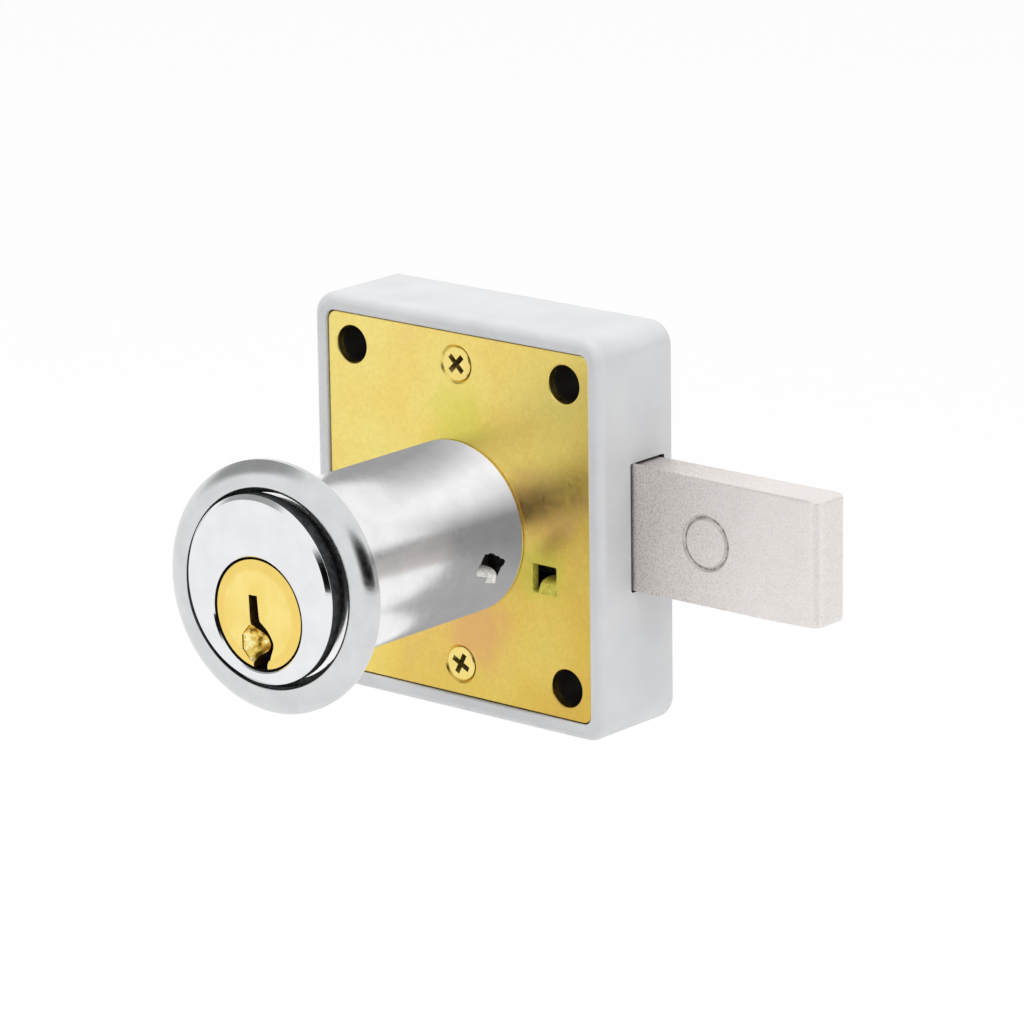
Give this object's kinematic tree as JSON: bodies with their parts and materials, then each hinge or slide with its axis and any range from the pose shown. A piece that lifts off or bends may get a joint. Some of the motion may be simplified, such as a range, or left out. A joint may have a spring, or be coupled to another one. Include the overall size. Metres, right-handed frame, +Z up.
{
  "type": "furniture lock",
  "caption": "Rim-mounted furniture lock: square cast case with a sliding bolt, worked by a pin cylinder in a long round barrel with a loose rosette.",
  "frame": {"origin": "on the barrel's axis, in the plane of the case rim that lies on the door's inner face", "axes": "+X the way the bolt is thrown, +Y from the key side into the case, +Z up"},
  "size_m": [0.0749, 0.0507, 0.051],
  "materials": {
    "cast_grey": "die-cast zinc with satin silver-grey lacquer",
    "yellow_zinc": "pressed steel, yellow chromated zinc plating",
    "yellow_zinc_screw": "steel screw, yellow chromated zinc plating",
    "chrome_head": "polished chrome plating on die-cast zinc",
    "chrome_tube": "chrome plated drawn tube, slightly soft",
    "chrome_ring": "bright chrome plating on die-cast zinc",
    "plug_brass": "turned brass, polished face",
    "pin_brass": "turned brass",
    "plain_steel": "pressed steel, bright zinc plating",
    "spring_steel": "spring steel wire and strip",
    "bolt_nickel": "die-cast zinc, satin nickel plating"
  },
  "bodies": {
    "lock_case": {"case": "cast_grey", "cover_plate": "yellow_zinc", "cover_screws": "yellow_zinc_screw", "cylinder_housing": "chrome_head", "barrel_tube": "chrome_tube", "barrel_clip": "plain_steel", "detent_spring": "spring_steel", "driver_pin_1": "pin_brass", "driver_pin_2": "pin_brass", "driver_pin_3": "pin_brass", "driver_pin_4": "pin_brass", "driver_pin_5": "pin_brass", "pin_spring_1": "spring_steel", "pin_spring_2": "spring_steel", "pin_spring_3": "spring_steel", "pin_spring_4": "spring_steel", "pin_spring_5": "spring_steel"},
    "plug_unit": {"plug": "plug_brass", "drive_arm": "plain_steel", "drive_pin": "plain_steel", "tail_screw": "plain_steel", "key_pin_1": "pin_brass", "key_pin_2": "pin_brass", "key_pin_3": "pin_brass", "key_pin_4": "pin_brass", "key_pin_5": "pin_brass"},
    "bolt": {"bolt": "bolt_nickel"},
    "rosette": {"rosette": "chrome_ring"}
  },
  "joints": [
    {"name": "plug_turn", "type": "hinge", "parent": "lock_case", "child": "plug_unit", "pos_m": [0, 0, -0.003], "axis": [0, -1, 0], "range_deg": [0, 120], "deforming": ["detent_spring"]},
    {"name": "bolt_slide", "type": "slide", "parent": "lock_case", "child": "bolt", "axis": [1, 0, 0], "range_m": [-0.0276, 0]},
    {"name": "rosette_slide", "type": "slide", "parent": "lock_case", "child": "rosette", "axis": [0, 1, 0], "range_m": [0, 0.0314]}
  ],
  "couplings": [
    {"joint": "plug_turn", "follows": "bolt_slide", "rad_per_m": -75.884}
  ]
}
